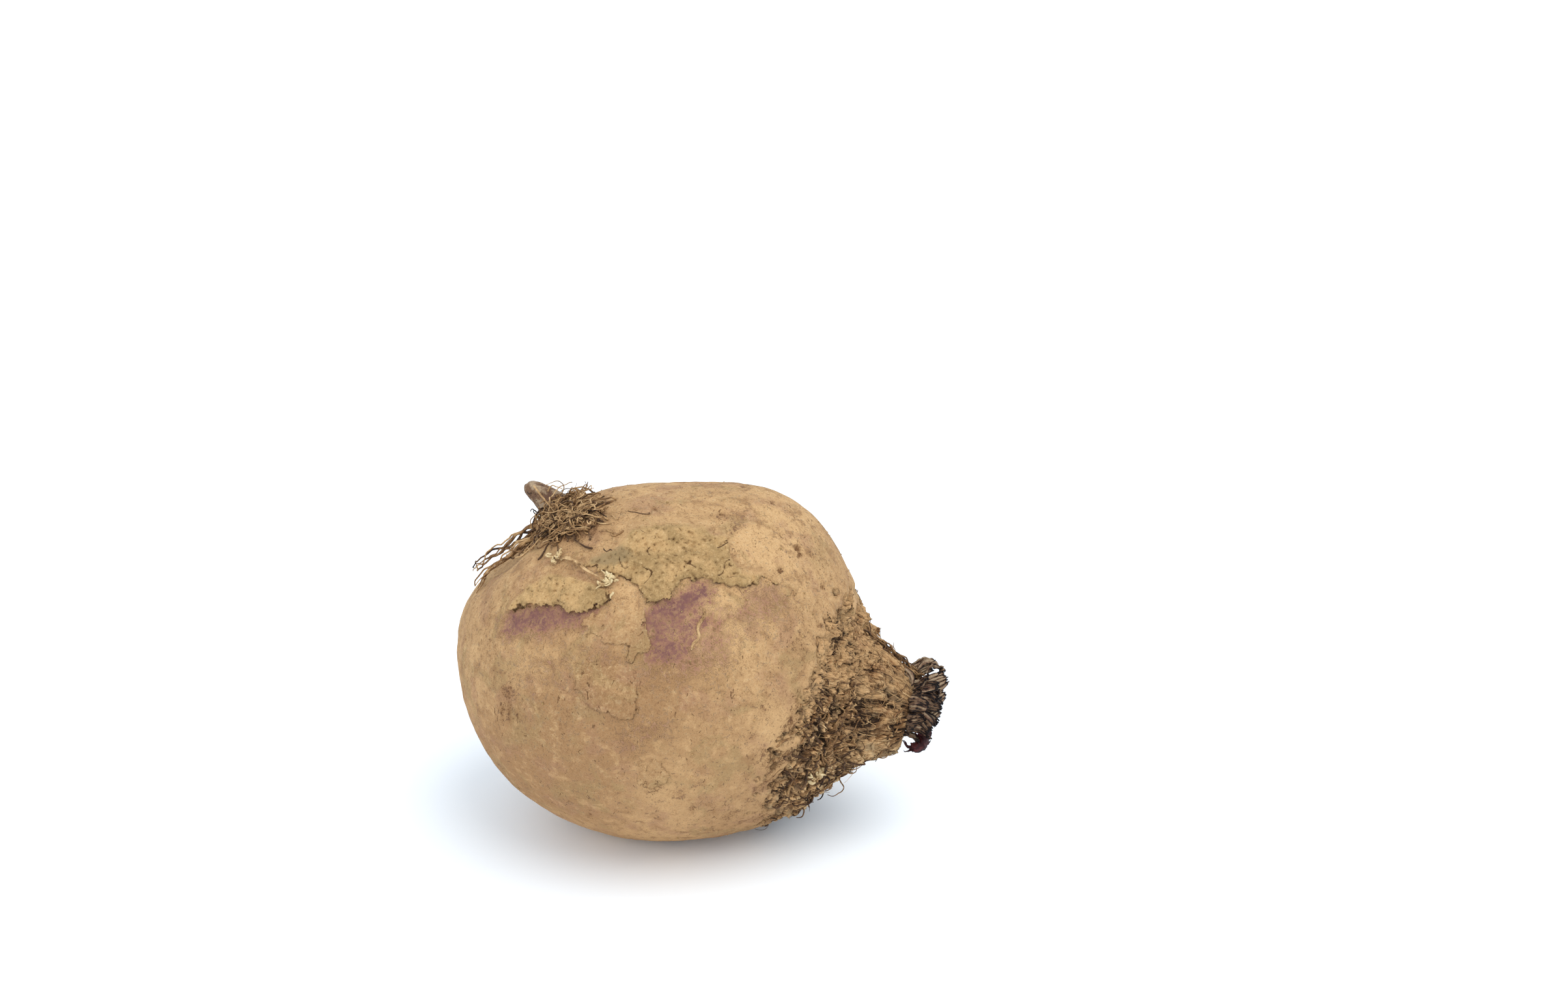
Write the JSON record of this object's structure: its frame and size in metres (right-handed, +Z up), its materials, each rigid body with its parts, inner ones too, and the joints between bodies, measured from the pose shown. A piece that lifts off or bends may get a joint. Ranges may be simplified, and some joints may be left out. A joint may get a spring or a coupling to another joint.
{
  "type": "beetroot",
  "caption": "Unwashed beetroot lying on its side: swollen root, scarred crown with dead leaf stalks, short tail with fine side roots, flakes of dried soil.",
  "frame": {"origin": "middle of the bounding box's base, on the surface that the root rests on", "axes": "+X along the longest extent, towards the crown; the side that the picture shows faces -Y; +Z up"},
  "size_m": [0.1076, 0.0767, 0.0771],
  "materials": {
    "dusty_skin": "matt, thinly covered in pale dry soil, with dull purple showing through",
    "dead_stalk": "withered, matt",
    "dried_soil": "rough, matt"
  },
  "bodies": {
    "root": {"root": "dusty_skin", "leaf_stalks": "dead_stalk", "soil_plate_top": "dried_soil", "soil_plate_side": "dried_soil"}
  },
  "joints": []
}
